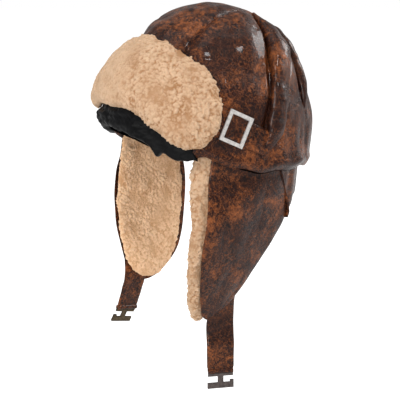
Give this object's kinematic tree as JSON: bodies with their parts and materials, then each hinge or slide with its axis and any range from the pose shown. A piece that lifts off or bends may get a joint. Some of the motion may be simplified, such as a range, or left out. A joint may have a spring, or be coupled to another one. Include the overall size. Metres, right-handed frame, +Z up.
{
  "type": "trapper hat",
  "caption": "Padded leather trapper hat with a fleece front flap, fleece-lined ear flaps, a neck flap and buckled side straps, and chin straps that end in T hooks.",
  "frame": {"origin": "centre of the head opening, level with the crown's lower edge over the ears", "axes": "+Z up through the crown, -Y out of the front over the forehead, +X to the wearer's left"},
  "size_m": [0.2054, 0.2381, 0.3902],
  "materials": {
    "leather": "distressed dark brown with rust-coloured cracks, half gloss",
    "fleece": "curly tan fleece",
    "satin": "black satin",
    "wadding": "white polyester wadding",
    "nickel": "bright nickel",
    "gunmetal": "dark gunmetal",
    "antique_brass": "dark antique brass"
  },
  "bodies": {
    "crown": {"crown_centre_strip": "leather", "crown_front_panel_left": "leather", "crown_front_panel_right": "leather", "crown_side_panel_left": "leather", "crown_side_panel_right": "leather", "crown_back_panel_left": "leather", "crown_back_panel_right": "leather", "side_seam_roll_left": "leather", "side_seam_roll_right": "leather", "back_seam_roll_left": "leather", "back_seam_roll_right": "leather", "crown_padding_centre": "wadding", "crown_padding_left": "wadding", "crown_padding_right": "wadding", "crown_lining_centre": "satin", "crown_lining_left": "satin", "crown_lining_right": "satin", "front_facing_band": "satin", "side_strap_left": "leather", "side_strap_right": "leather", "neck_flap_shell": "leather", "neck_flap_fleece": "fleece"},
    "front_flap": {"front_flap_backing": "satin", "front_flap_fleece": "fleece"},
    "left_buckle": {"buckle_left": "nickel"},
    "right_buckle": {"buckle_right": "nickel"},
    "left_ear_flap": {"left_ear_flap_shell": "leather", "left_ear_flap_fleece": "fleece", "left_strap_anchor": "leather"},
    "left_chin_strap": {"left_chin_strap": "leather"},
    "left_hook": {"left_hook": "gunmetal"},
    "right_ear_flap": {"right_ear_flap_shell": "leather", "right_ear_flap_fleece": "fleece", "right_strap_anchor": "leather"},
    "right_chin_strap": {"right_chin_strap": "leather"},
    "right_hook": {"right_hook": "antique_brass"}
  },
  "joints": [
    {"name": "front_flap_fold", "type": "hinge", "parent": "crown", "child": "front_flap", "pos_m": [0, -0.1, 0.029], "axis": [1, 0, 0], "range_deg": [0, 120]},
    {"name": "left_ear_flap_fold", "type": "hinge", "parent": "crown", "child": "left_ear_flap", "pos_m": [0.0955, 0, 0.004], "axis": [0, -1, 0], "range_deg": [0, 150]},
    {"name": "left_chin_strap_swing", "type": "hinge", "parent": "left_ear_flap", "child": "left_chin_strap", "pos_m": [0.058, -0.0315, -0.155], "axis": [0.5029, 0.8641, -0.02], "range_deg": [-70, 70]},
    {"name": "left_hook_swing", "type": "hinge", "parent": "left_chin_strap", "child": "left_hook", "pos_m": [0.066, -0.0375, -0.213], "axis": [0.5029, 0.8641, -0.02], "range_deg": [-100, 100]},
    {"name": "left_buckle_slide", "type": "slide", "parent": "crown", "child": "left_buckle", "axis": [0.3826, 0.8193, -0.427], "range_m": [-0.003, 0.003]},
    {"name": "right_ear_flap_fold", "type": "hinge", "parent": "crown", "child": "right_ear_flap", "pos_m": [-0.0955, 0, 0.004], "axis": [0, 1, 0], "range_deg": [0, 150]},
    {"name": "right_chin_strap_swing", "type": "hinge", "parent": "right_ear_flap", "child": "right_chin_strap", "pos_m": [-0.058, -0.058, -0.155], "axis": [0.087, -0.9335, 0.3478], "range_deg": [-70, 70]},
    {"name": "right_hook_swing", "type": "hinge", "parent": "right_chin_strap", "child": "right_hook", "pos_m": [-0.064, -0.0675, -0.179], "axis": [0.087, -0.9335, 0.3478], "range_deg": [-100, 100]},
    {"name": "right_buckle_slide", "type": "slide", "parent": "crown", "child": "right_buckle", "axis": [-0.3826, 0.8193, -0.427], "range_m": [-0.003, 0.003]}
  ]
}
